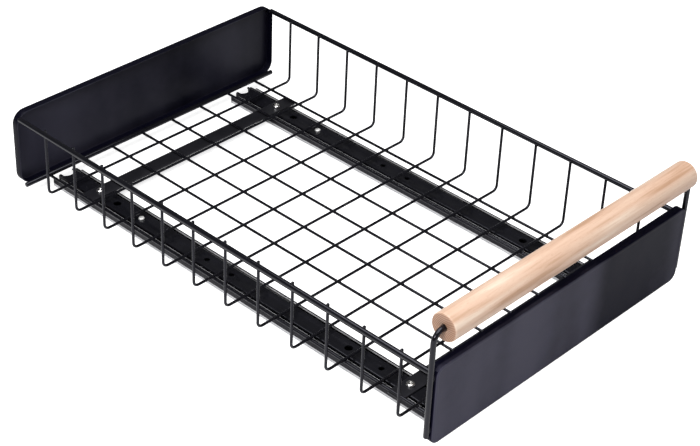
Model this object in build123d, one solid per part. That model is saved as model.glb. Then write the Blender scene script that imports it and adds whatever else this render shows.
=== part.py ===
from build123d import *
import os

# Pull-out cabinet basket: a wire basket between two sheet-steel panels, on a pair of
# ball-bearing slides, with a wooden grip on a bent wire handle.
# Millimetres. X runs across, -Y is the front, +Z is up, and z = 0 is the cabinet floor.
# Heights called "level" are measured from the plane where the grid wires cross.

# Grid of wires
WIRE_D = 2.5
LONG_COUNT = 8
LONG_PITCH = 35.7
CROSS_COUNT = 12
CROSS_PITCH = 37.5
CROSS_BEND_R = 5.0
LEG_NUB = 1.4

# Rails along the top of the two sides
RAIL_D = 4.6
RAIL_X = 150.3
RAIL_LEVEL = 64.5
LEG_X = RAIL_X - RAIL_D / 2 - WIRE_D / 2

# Front and rear panels: shallow pressed pans
PANEL_W = 306.0
PANEL_H = 72.0
PANEL_T = 1.0
PANEL_DEPTH = 7.4
FRONT_CORNER_R = 8.0
REAR_CORNER_R = 12.0
PANEL_EDGE_R = 1.2
FRONT_FACE_Y = -245.2
REAR_FACE_Y = 244.5
FRONT_PANEL_LEVEL = 0.7
REAR_PANEL_LEVEL = -2.3
FRONT_RIM_Y = FRONT_FACE_Y + PANEL_DEPTH
REAR_RIM_Y = REAR_FACE_Y - PANEL_DEPTH

# Rods along the panels' lower edges: under the front rim and against the rear one
ROD_D = 4.4
FRONT_ROD_LENGTH = 280.0
REAR_ROD_LENGTH = 300.0
FRONT_ROD_INSET = 0.4
FRONT_ROD_LEVEL = FRONT_PANEL_LEVEL - ROD_D / 2
FRONT_ROD_Y = FRONT_RIM_Y - FRONT_ROD_INSET
REAR_ROD_LEVEL = -1.6
REAR_ROD_Y = REAR_RIM_Y - ROD_D / 2

# Handle: a bent wire through a loose wooden grip
HANDLE_WIRE_D = 4.5
HANDLE_X = PANEL_W / 2 + HANDLE_WIRE_D / 2
HANDLE_Y = -241.6
HANDLE_FOOT_LEVEL = 9.0
HANDLE_BEND_R = 9.0
GRIP_LEVEL = 104.4
GRIP_D = 23.5
GRIP_LENGTH = 294.0
GRIP_OFFSET_X = 1.5
GRIP_BORE_D = 6.0
GRIP_END_R = 1.6

# Cross bars that carry the grid on the slides
BAR_LENGTH = 253.0
BAR_W = 15.0
BAR_T = 1.5
BAR_CORNER_R = 2.0
BAR_Y = 184.4

# Two-member ball-bearing slides, lying flat
SLIDE_X = 108.0
SLIDE_W = 27.0
SLIDE_H = 10.0
SLIDE_FRONT_Y = -215.0
SLIDE_REAR_Y = 235.0
OUTER_T = 1.0
OUTER_LIP = 1.6
OUTER_LIP_TRIM = 10.0
OUTER_END_R = 3.0
INNER_TOP_Z = 10.4
INNER_T = 1.2
INNER_W = 17.0
INNER_LIP = 1.3
INNER_FOOT_Z = 2.0
INNER_FRONT_Y = -213.0
INNER_REAR_Y = 231.5
NOTCH_DEPTH = 7.0
NOTCH_R = 8.6
NOTCH_W = 12.4
ACCESS_HOLE_D = 7.0
SPARE_HOLE_D = 5.0
FIX_HOLE_D = 4.6
FIX_HOLES_Y = (161.0, -119.0)
SPARE_HOLES_Y = (45.4, 15.6, -154.2)
STOP_W = 8.0
STOP_T = 1.0
STOP_TOP_Z = 3.4
STOP_INSET = 2.0

# Ball cages, which travel half as far as the basket
CAGE_LENGTH = 104.0
CAGE_Y = 10.0
CAGE_T = 0.4
CAGE_BASE_Z = 1.3
CAGE_HALF_W = 10.8
CAGE_SIDE_T = 0.6
CAGE_TOP_Z = 8.3
BALL_D = 3.6
BALL_X = 10.5
BALL_Z = 5.9
BALL_COUNT = 10
BALL_SPACING = 10.0
BALL_POCKET_D = 3.9

# Screws and nuts that hold the bars to the inner members
SCREW_D = 4.0
SCREW_HOLE_D = 4.4
SCREW_HEAD_D = 7.4
SCREW_HEAD_H = 2.3
SCREW_HEAD_R = 1.5
SCREW_RECESS_L = 4.4
SCREW_RECESS_W = 1.0
SCREW_RECESS_DEPTH = 1.2
SCREW_TIP_Z = 5.6
NUT_AF = 7.0
NUT_H = 2.8

# Rivets in the webs of the inner members
RIVET_Y = 129.0
RIVET_HEAD_D = 5.4
RIVET_HEAD_H = 1.1
RIVET_HEAD_R = 0.9
RIVET_D = 3.0
RIVET_TAIL_D = 4.4
RIVET_TAIL_H = 0.8

# Where the grid plane lies above the floor, and the shift that centres the part in Y
GRID_Z = INNER_TOP_Z + BAR_T + WIRE_D
CENTRE_Y = -(HANDLE_Y - GRIP_D / 2 + REAR_FACE_Y) / 2


def placed(shape):
    """Moves a shape from the grid-centred frame to the part's origin."""
    return Pos(0, CENTRE_Y, 0) * shape


def rod(start, end, diameter):
    """A straight round rod between two points."""
    path = Line(start, end)
    profile = Plane(origin=start, z_dir=path % 0) * Circle(diameter / 2)
    return extrude(profile, amount=path.length)


def bent_wire(points, radius, diameter):
    """A round wire along a path of straight runs with equal bends."""
    path = FilletPolyline(*points, radius=radius)
    profile = Plane(origin=path @ 0, z_dir=path % 0) * Circle(diameter / 2)
    return sweep(profile, path=path)


def cross_wire(y):
    """One U-shaped wire: across the bottom and up both sides to the rails."""
    base = GRID_Z + WIRE_D / 2
    top = GRID_Z + RAIL_LEVEL + LEG_NUB
    points = [(-LEG_X, y, top), (-LEG_X, y, base), (LEG_X, y, base), (LEG_X, y, top)]
    return bent_wire(points, CROSS_BEND_R, WIRE_D)


def long_wire(x):
    """One straight wire of the grid, from the front rod to the rear rod."""
    level = GRID_Z - WIRE_D / 2
    front = FRONT_ROD_Y + ROD_D / 2
    rear = REAR_ROD_Y - ROD_D / 2
    return rod((x, front, level), (x, rear, level), WIRE_D)


def top_rail(side):
    """A rail between the rims of the two panels."""
    level = GRID_Z + RAIL_LEVEL
    x = side * RAIL_X
    return rod((x, FRONT_RIM_Y, level), (x, REAR_RIM_Y, level), RAIL_D)


def bottom_rod(length, y, level):
    """A rod along the lower edge of a panel."""
    z = GRID_Z + level
    return rod((-length / 2, y, z), (length / 2, y, z), ROD_D)


def panel(corner_r):
    """A pan with its face at y = 0 and its flange turned towards +Y, standing on z = 0."""
    plane = Plane.XZ.offset(-PANEL_DEPTH) * Pos(0, PANEL_H / 2)
    outer = extrude(plane * RectangleRounded(PANEL_W, PANEL_H, corner_r), PANEL_DEPTH)
    outer = fillet(outer.faces().sort_by(Axis.Y)[0].edges(), PANEL_EDGE_R)
    inner_w = PANEL_W - 2 * PANEL_T
    inner_h = PANEL_H - 2 * PANEL_T
    hollow = plane * RectangleRounded(inner_w, inner_h, corner_r - PANEL_T)
    inner = extrude(hollow, PANEL_DEPTH - PANEL_T)
    inner = fillet(inner.faces().sort_by(Axis.Y)[0].edges(), PANEL_EDGE_R - PANEL_T)
    return outer - inner


def front_panel():
    """The front pan, open towards the basket."""
    return Pos(0, FRONT_FACE_Y, GRID_Z + FRONT_PANEL_LEVEL) * panel(FRONT_CORNER_R)


def rear_panel():
    """The rear pan, open towards the basket."""
    turned = Rot(0, 0, 180) * panel(REAR_CORNER_R)
    return Pos(0, REAR_FACE_Y, GRID_Z + REAR_PANEL_LEVEL) * turned


def handle_wire():
    """The wire that runs up both sides of the front panel and through the grip."""
    foot = GRID_Z + HANDLE_FOOT_LEVEL
    top = GRID_Z + GRIP_LEVEL
    y = HANDLE_Y
    points = [(-HANDLE_X, y, foot), (-HANDLE_X, y, top), (HANDLE_X, y, top), (HANDLE_X, y, foot)]
    return bent_wire(points, HANDLE_BEND_R, HANDLE_WIRE_D)


def wood_grip():
    """The bored wooden dowel."""
    turn = Pos(GRIP_OFFSET_X, HANDLE_Y, GRID_Z + GRIP_LEVEL) * Rot(0, 90, 0)
    dowel = Cylinder(GRIP_D / 2, GRIP_LENGTH)
    rims = dowel.edges().filter_by(GeomType.CIRCLE)
    dowel = fillet(rims, GRIP_END_R)
    return turn * (dowel - Cylinder(GRIP_BORE_D / 2, GRIP_LENGTH))


def mount_bar(y):
    """A flat bar under the grid, screwed to both inner members."""
    bar = extrude(RectangleRounded(BAR_LENGTH, BAR_W, BAR_CORNER_R), BAR_T)
    for side in (-1, 1):
        bar -= Pos(side * SLIDE_X, 0, BAR_T / 2) * Cylinder(SCREW_HOLE_D / 2, BAR_T)
    return Pos(0, y, INNER_TOP_Z) * bar


def screw(x, y):
    """A pan-head screw through a bar and an inner member."""
    seat = INNER_TOP_Z + BAR_T
    head = extrude(Circle(SCREW_HEAD_D / 2), SCREW_HEAD_H)
    head = fillet(head.edges().filter_by(GeomType.CIRCLE).sort_by(Axis.Z)[-1], SCREW_HEAD_R)
    for angle in (45, 135):
        arm = Box(SCREW_RECESS_L, SCREW_RECESS_W, 2 * SCREW_RECESS_DEPTH)
        head -= Pos(0, 0, SCREW_HEAD_H) * Rot(0, 0, angle) * arm
    length = seat - SCREW_TIP_Z
    shank = Pos(0, 0, -length) * extrude(Circle(SCREW_D / 2), length)
    return Pos(x, y, seat) * (head + shank)


def nut(x, y):
    """A hexagon nut under an inner member's web."""
    hexagon = RegularPolygon(NUT_AF / 2, 6, major_radius=False) - Circle(SCREW_D / 2)
    return Pos(x, y, INNER_TOP_Z - INNER_T - NUT_H) * extrude(hexagon, NUT_H)


def rivet(side):
    """A low-domed rivet in an inner member's web, closed under it."""
    head = extrude(Circle(RIVET_HEAD_D / 2), RIVET_HEAD_H)
    head = fillet(head.edges().filter_by(GeomType.CIRCLE).sort_by(Axis.Z)[-1], RIVET_HEAD_R)
    shank = Pos(0, 0, -INNER_T) * extrude(Circle(RIVET_D / 2), INNER_T)
    tail = Pos(0, 0, -INNER_T - RIVET_TAIL_H) * extrude(Circle(RIVET_TAIL_D / 2), RIVET_TAIL_H)
    return Pos(side * SLIDE_X, RIVET_Y, INNER_TOP_Z) * (head + shank + tail)


def fixings(maker):
    """Four fasteners, one at each crossing of a bar and a slide."""
    spots = [(x, y) for x in (-SLIDE_X, SLIDE_X) for y in (-BAR_Y, BAR_Y)]
    return [placed(maker(x, y)) for x, y in spots]


def channel(outline, front_y, rear_y):
    """A channel: a closed outline in X and Z run from front to rear."""
    profile = Plane(origin=(0, rear_y, 0), x_dir=(1, 0, 0), z_dir=(0, -1, 0)) * outline
    return extrude(profile, rear_y - front_y)


def section(points):
    """A face that mirrors half an outline about x = 0."""
    mirrored = [(-x, z) for x, z in reversed(points)]
    return make_face(Polyline(*points, *mirrored, close=True))


def drilled(member, diameter, rows):
    """Round holes through a member's web."""
    for y in rows:
        member -= Pos(0, y, SLIDE_H / 2) * Cylinder(diameter / 2, 2 * SLIDE_H)
    return member


def outer_member():
    """The fixed member: a wide channel with its lips turned in, and a stop in front."""
    half = SLIDE_W / 2
    inside = half - OUTER_T
    lip = half - OUTER_T - OUTER_LIP
    points = [(half, 0), (half, SLIDE_H), (lip, SLIDE_H), (lip, SLIDE_H - OUTER_T)]
    points += [(inside, SLIDE_H - OUTER_T), (inside, OUTER_T)]
    member = channel(section(points), SLIDE_FRONT_Y, SLIDE_REAR_Y)
    member = fillet(member.edges().filter_by(Axis.Y).group_by(Axis.Z)[0], OUTER_T)
    trim = Box(SLIDE_W, OUTER_LIP_TRIM, SLIDE_H)
    member -= Pos(0, SLIDE_REAR_Y - OUTER_LIP_TRIM / 2, 1.5 * SLIDE_H - OUTER_T - OUTER_LIP) * trim
    plan = Pos(0, (SLIDE_FRONT_Y + SLIDE_REAR_Y) / 2) * RectangleRounded(
        SLIDE_W, SLIDE_REAR_Y - SLIDE_FRONT_Y, OUTER_END_R)
    member &= extrude(plan, SLIDE_H)
    member = drilled(member, FIX_HOLE_D, FIX_HOLES_Y)
    tab_h = STOP_TOP_Z - OUTER_T
    tab_y = SLIDE_FRONT_Y + STOP_INSET + STOP_T / 2
    return member + Pos(0, tab_y, OUTER_T + tab_h / 2) * Box(STOP_W, STOP_T, tab_h)


def inner_member():
    """The moving member: a narrow channel over the balls, with a notched rear end."""
    half = INNER_W / 2
    foot = half + INNER_LIP
    inside = half - INNER_T
    shelf = INNER_FOOT_Z + INNER_T
    points = [(half, INNER_TOP_Z), (half, shelf), (foot, shelf), (foot, INNER_FOOT_Z)]
    points += [(inside, INNER_FOOT_Z), (inside, INNER_TOP_Z - INNER_T)]
    member = channel(section(points), INNER_FRONT_Y, INNER_REAR_Y)
    member = fillet(member.edges().filter_by(Axis.Y).group_by(Axis.Z)[-1], INNER_T / 2)
    centre_y = INNER_REAR_Y - NOTCH_DEPTH + NOTCH_R
    cutter = Cylinder(NOTCH_R, 2 * INNER_T) & Box(NOTCH_W, 4 * NOTCH_R, 2 * INNER_T)
    member -= Pos(0, centre_y, INNER_TOP_Z) * cutter
    member = drilled(member, ACCESS_HOLE_D, FIX_HOLES_Y)
    member = drilled(member, SPARE_HOLE_D, SPARE_HOLES_Y)
    member = drilled(member, RIVET_D, (RIVET_Y,))
    return drilled(member, SCREW_HOLE_D, (-BAR_Y, BAR_Y))


def ball_rows():
    """Centres of the balls in one slide, in its own X."""
    first = CAGE_Y - BALL_SPACING * (BALL_COUNT - 1) / 2
    return [(s * BALL_X, first + i * BALL_SPACING) for s in (-1, 1) for i in range(BALL_COUNT)]


def ball_cage():
    """The thin retainer that spaces the balls."""
    side = CAGE_HALF_W - CAGE_SIDE_T
    points = [(CAGE_HALF_W, CAGE_BASE_Z), (CAGE_HALF_W, CAGE_TOP_Z), (side, CAGE_TOP_Z)]
    points += [(side, CAGE_BASE_Z + CAGE_T)]
    half = CAGE_LENGTH / 2
    cage = channel(section(points), CAGE_Y - half, CAGE_Y + half)
    bore = Rot(0, 90, 0) * Cylinder(BALL_POCKET_D / 2, 2 * CAGE_SIDE_T)
    wall_x = CAGE_HALF_W - CAGE_SIDE_T / 2
    for x, y in ball_rows():
        cage -= Pos(wall_x if x > 0 else -wall_x, y, BALL_Z) * bore
    return cage


def balls(side):
    """All the balls of one slide."""
    return [placed(Pos(side * SLIDE_X + x, y, BALL_Z) * Sphere(BALL_D / 2)) for x, y in ball_rows()]


def save(name, shape):
    """Writes one node; a list of solids becomes one group."""
    part = Compound(children=shape) if isinstance(shape, list) else placed(shape)
    part.label = name
    export_step(part, os.path.join("parts", name + ".step"))


def main():
    """Builds and writes every node."""
    os.makedirs("parts", exist_ok=True)
    for i in range(LONG_COUNT):
        x = ((LONG_COUNT - 1) / 2 - i) * LONG_PITCH
        save(f"long_wire_{i + 1:02d}", long_wire(x))
    for j in range(CROSS_COUNT):
        y = ((CROSS_COUNT - 1) / 2 - j) * CROSS_PITCH
        save(f"cross_wire_{j + 1:02d}", cross_wire(y))
    save("front_panel", front_panel())
    save("rear_panel", rear_panel())
    save("front_bottom_rod", bottom_rod(FRONT_ROD_LENGTH, FRONT_ROD_Y, FRONT_ROD_LEVEL))
    save("rear_bottom_rod", bottom_rod(REAR_ROD_LENGTH, REAR_ROD_Y, REAR_ROD_LEVEL))
    save("front_mount_bar", mount_bar(-BAR_Y))
    save("rear_mount_bar", mount_bar(BAR_Y))
    save("handle_wire", handle_wire())
    save("wood_grip", wood_grip())
    save("bar_screws", fixings(screw))
    save("bar_nuts", fixings(nut))
    save("slide_rivets", [placed(rivet(side)) for side in (-1, 1)])
    for name, side in (("left", -1), ("right", 1)):
        at_slide = Pos(side * SLIDE_X, 0, 0)
        save(f"{name}_top_rail", top_rail(side))
        save(f"{name}_outer_member", at_slide * outer_member())
        save(f"{name}_inner_member", at_slide * inner_member())
        save(f"{name}_ball_cage", at_slide * ball_cage())
        save(f"{name}_balls", balls(side))


if __name__ == "__main__":
    main()
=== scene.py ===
"""Looks of a pull-out cabinet basket, built round its packed construction model.

Lengths are in metres. X runs across, -Y is the front where the grip is, +Z is up.
"""

from __future__ import annotations

import logging
import math
from dataclasses import dataclass
from enum import Enum
from typing import Callable, Sequence

import bmesh
import bpy
from mathutils import Matrix, Vector

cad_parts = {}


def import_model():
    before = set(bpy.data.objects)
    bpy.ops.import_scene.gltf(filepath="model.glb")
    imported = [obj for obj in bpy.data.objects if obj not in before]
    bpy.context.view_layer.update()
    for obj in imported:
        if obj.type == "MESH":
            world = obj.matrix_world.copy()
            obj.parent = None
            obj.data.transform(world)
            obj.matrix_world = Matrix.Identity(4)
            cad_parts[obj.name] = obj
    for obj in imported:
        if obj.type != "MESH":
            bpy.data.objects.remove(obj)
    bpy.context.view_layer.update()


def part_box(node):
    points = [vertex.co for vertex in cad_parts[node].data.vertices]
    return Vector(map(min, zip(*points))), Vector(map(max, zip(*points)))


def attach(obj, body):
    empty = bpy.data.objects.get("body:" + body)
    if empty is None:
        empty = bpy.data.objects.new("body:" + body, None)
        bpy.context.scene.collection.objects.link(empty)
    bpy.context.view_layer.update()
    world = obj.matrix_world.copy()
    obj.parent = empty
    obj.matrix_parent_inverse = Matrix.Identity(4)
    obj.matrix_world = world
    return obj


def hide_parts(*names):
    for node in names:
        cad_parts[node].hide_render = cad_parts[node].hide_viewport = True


MM = 0.001
# Coordinates nearer than TOUCH are the same. A unit direction runs along an axis when its part on
# that axis is above ALONG, straight along it above STRAIGHT, and across it below ACROSS.
TOUCH = 1e-6
ALONG = 0.9
STRAIGHT = 0.999
ACROSS = 0.1
# Edges sharper than this many degrees stay sharp in the shading, on turned and on folded pieces.
CREASE = 50.0
FOLD_CREASE = 40.0
LOG = logging.getLogger("cabinet_basket")

Test = Callable[[Vector, Vector], bool]


class Body(str, Enum):
    """The bodies that the pieces ride on."""

    BASES = "slide_bases"
    BASKET = "basket"
    GRIP = "grip"


class Slot(str, Enum):
    """The record's material slots that the pieces use."""

    WIRE = "wire_coat"
    PANEL = "panel_coat"
    BAR = "bar_coat"
    SLIDE = "slide_coat"
    SCREW = "screw_plate"
    WOOD = "grip_wood"


class Side(Enum):
    """The two sides of the basket, with the sign of their X."""

    LEFT = -1
    RIGHT = 1

    @property
    def word(self) -> str:
        """The side's name in lower case."""
        return self.name.lower()


class Piece(Enum):
    """What an edit-mode selection is made of."""

    VERTS = "VERT"
    EDGES = "EDGE"
    FACES = "FACE"


def middle(node: str) -> Vector:
    """The middle of a construction node's box."""
    low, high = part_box(node)
    return (low + high) / 2


# ---------------------------------------------------------------- modelling bench


class Bench:
    """Modelling steps that the sub-assemblies share."""

    @staticmethod
    def clear() -> None:
        """Deselects every object."""
        if bpy.context.object and bpy.context.object.mode != "OBJECT":
            bpy.ops.object.mode_set(mode="OBJECT")
        bpy.ops.object.select_all(action="DESELECT")

    @staticmethod
    def only(obj: bpy.types.Object) -> None:
        """Makes one object the only selected and active one.

        Args:
            obj: the object.
        """
        Bench.clear()
        obj.select_set(True)
        bpy.context.view_layer.objects.active = obj

    @staticmethod
    def seat(obj: bpy.types.Object, name: str) -> bpy.types.Object:
        """Names an object and puts its place, turn and size into its mesh.

        Args:
            obj: the object to settle.
            name: the name for the object and its mesh.
        Returns:
            The same object.
        """
        Bench.only(obj)
        bpy.ops.object.transform_apply(location=True, rotation=True, scale=True)
        obj.name = name
        obj.data.name = name
        return obj

    @staticmethod
    def block(name: str, low: Sequence[float], high: Sequence[float]) -> bpy.types.Object:
        """A box between two corners, as a start for shaping.

        Args:
            name: the object's name.
            low: the lowest corner.
            high: the highest corner.
        Returns:
            The new object.
        """
        Bench.clear()
        centre = [(a + b) / 2 for a, b in zip(low, high)]
        bpy.ops.mesh.primitive_cube_add(size=1, location=centre)
        obj = bpy.context.object
        obj.scale = [b - a for a, b in zip(low, high)]
        return Bench.seat(obj, name)

    @staticmethod
    def round_bar(name: str, start: Vector, along: Vector, radius: float, sides: int) -> bpy.types.Object:
        """A closed round bar from a point along a vector.

        Args:
            name: the object's name.
            start: centre of its first end.
            along: direction and length.
            radius: its radius.
            sides: number of sides.
        Returns:
            The new object.
        """
        Bench.clear()
        turn = along.to_track_quat("Z", "Y").to_euler()
        bpy.ops.mesh.primitive_cylinder_add(
            vertices=sides, radius=radius, depth=along.length, location=start + along / 2, rotation=turn
        )
        return Bench.seat(bpy.context.object, name)

    @staticmethod
    def edit(obj: bpy.types.Object) -> None:
        """Opens one object for editing, with nothing selected.

        Args:
            obj: the object.
        """
        Bench.only(obj)
        bpy.ops.object.mode_set(mode="EDIT")
        bpy.ops.mesh.select_mode(type=Piece.VERTS.value)
        bpy.ops.mesh.select_all(action="DESELECT")

    @staticmethod
    def done() -> None:
        """Leaves edit mode."""
        bpy.ops.object.mode_set(mode="OBJECT")

    @staticmethod
    def pick(obj: bpy.types.Object, kind: Piece, test: Test) -> None:
        """Selects parts of the mesh being edited by their place and normal.

        Args:
            obj: the object in edit mode.
            kind: verts, edges or faces.
            test: takes a part's centre and its normal (an edge's direction) and says yes or no.
        """
        bpy.ops.mesh.select_mode(type=kind.value)
        bpy.ops.mesh.select_all(action="DESELECT")
        mesh = bmesh.from_edit_mesh(obj.data)
        if kind is Piece.FACES:
            parts = [(f, f.calc_center_median(), f.normal) for f in mesh.faces]
        elif kind is Piece.EDGES:
            parts = [
                (e, (e.verts[0].co + e.verts[1].co) / 2, (e.verts[1].co - e.verts[0].co).normalized())
                for e in mesh.edges
            ]
        else:
            parts = [(v, v.co, v.normal) for v in mesh.verts]
        for part, centre, normal in parts:
            if test(centre, normal):
                part.select_set(True)
        mesh.select_flush_mode()
        bmesh.update_edit_mesh(obj.data)

    @staticmethod
    def modify(obj: bpy.types.Object, kind: str, **settings: object) -> None:
        """Adds one modifier and applies it.

        Args:
            obj: the object to change.
            kind: Blender's name of the modifier.
            settings: the modifier's settings.
        """
        Bench.only(obj)
        modifier = obj.modifiers.new(kind.lower(), kind)
        for key, value in settings.items():
            setattr(modifier, key, value)
        bpy.ops.object.modifier_apply(modifier=modifier.name)

    @staticmethod
    def cut(obj: bpy.types.Object, tool: bpy.types.Object, keep_inside: bool = False) -> None:
        """Cuts an object with another one, which is then removed.

        Args:
            obj: the object to cut.
            tool: the cutting shape.
            keep_inside: keeps what lies inside the tool in place of what lies outside.
        """
        operation = "INTERSECT" if keep_inside else "DIFFERENCE"
        Bench.modify(obj, "BOOLEAN", object=tool, operation=operation, solver="EXACT")
        bpy.data.objects.remove(tool)

    @staticmethod
    def soften(obj: bpy.types.Object, width: float, segments: int = 2, angle: float = 40.0) -> None:
        """Rounds the sharp edges with a narrow bevel.

        Args:
            obj: the object to change.
            width: width of the bevel.
            segments: its number of segments.
            angle: the least angle, in degrees, of an edge that is rounded.
        """
        Bench.modify(
            obj,
            "BEVEL",
            width=width,
            segments=segments,
            limit_method="ANGLE",
            angle_limit=math.radians(angle),
            use_clamp_overlap=True,
        )

    @staticmethod
    def smooth(obj: bpy.types.Object, angle: float = 35.0) -> None:
        """Shades an object smooth up to an angle in degrees."""
        Bench.only(obj)
        bpy.ops.object.shade_smooth_by_angle(angle=math.radians(angle))

    @staticmethod
    def face_out(obj: bpy.types.Object) -> None:
        """Merges doubles and turns every face outwards.

        Args:
            obj: the object.
        """
        Bench.edit(obj)
        bpy.ops.mesh.select_all(action="SELECT")
        bpy.ops.mesh.remove_doubles(threshold=TOUCH)
        bpy.ops.mesh.normals_make_consistent(inside=False)
        Bench.done()

    @staticmethod
    def copy(obj: bpy.types.Object, name: str, place: Matrix) -> bpy.types.Object:
        """Copies an object with its own mesh, moved by a matrix.

        Args:
            obj: the object to copy.
            name: the copy's name.
            place: where the mesh goes.
        Returns:
            The copy.
        """
        twin = obj.copy()
        twin.data = obj.data.copy()
        twin.data.transform(place)
        if place.determinant() < 0:
            twin.data.flip_normals()
        twin.name = name
        twin.data.name = name
        bpy.context.scene.collection.objects.link(twin)
        return twin

    @staticmethod
    def join(objects: Sequence[bpy.types.Object], name: str) -> bpy.types.Object:
        """Joins objects into one.

        Args:
            objects: the objects, of which the first is kept.
            name: the joined object's name.
        Returns:
            The joined object.
        """
        Bench.clear()
        for obj in objects:
            obj.select_set(True)
        bpy.context.view_layer.objects.active = objects[0]
        bpy.ops.object.join()
        joined = bpy.context.object
        joined.name = name
        joined.data.name = name
        return joined

    @staticmethod
    def wire(
        name: str,
        points: Sequence[Vector],
        bend: float,
        diameter: float,
        sides: int = 20,
        steps: int = 8,
        end_round: float = 0.35 * MM,
    ) -> bpy.types.Object:
        """A round wire run out and bent from its first end to its last.

        Args:
            name: the object's name.
            points: corners of its centre line.
            bend: radius of the bends.
            diameter: the wire's diameter.
            sides: sides of its section.
            steps: steps in each bend.
            end_round: rounding of its cut ends.
        Returns:
            The new object.
        """
        Bench.clear()
        runs = [b - a for a, b in zip(points, points[1:])]
        ways = [run.normalized() for run in runs]
        turn = ways[0].to_track_quat("Z", "Y").to_euler()
        bpy.ops.mesh.primitive_circle_add(
            vertices=sides, radius=diameter / 2, fill_type="NOTHING", location=points[0], rotation=turn
        )
        obj = Bench.seat(bpy.context.object, name)
        Bench.edit(obj)
        bpy.ops.mesh.select_all(action="SELECT")
        here = points[0].copy()
        for i, way in enumerate(ways):
            length = runs[i].length
            if i > 0:
                length -= bend * math.tan(ways[i - 1].angle(way) / 2)
            if i + 1 < len(ways):
                length -= bend * math.tan(way.angle(ways[i + 1]) / 2)
            bpy.ops.mesh.extrude_region_move(TRANSFORM_OT_translate={"value": way * length})
            here += way * length
            if i + 1 < len(ways):
                following = ways[i + 1]
                inward = (following - way * way.dot(following)).normalized()
                centre = here + inward * bend
                angle = way.angle(following)
                axis = following.cross(way).normalized()
                bpy.ops.mesh.spin(steps=steps, angle=angle, center=centre, axis=axis)
                here = centre + Matrix.Rotation(-angle, 3, axis) @ (here - centre)
        bpy.ops.mesh.select_all(action="SELECT")
        bpy.ops.mesh.fill_holes(sides=0)
        bpy.ops.mesh.normals_make_consistent(inside=False)
        ends = (points[0], points[-1])
        near = 0.6 * diameter
        Bench.pick(
            obj,
            Piece.EDGES,
            lambda c, n: any((c - e).length < near for e in ends)
            and min(abs(n.dot(ways[0])), abs(n.dot(ways[-1]))) < 0.5
            and any(abs((c - e).dot(w)) < TOUCH for e, w in zip(ends, (ways[0], ways[-1]))),
        )
        bpy.ops.mesh.bevel(offset=end_round, segments=3, affect="EDGES")
        Bench.done()
        Bench.smooth(obj, FOLD_CREASE)
        return obj


# ---------------------------------------------------------------- finishes


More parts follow.
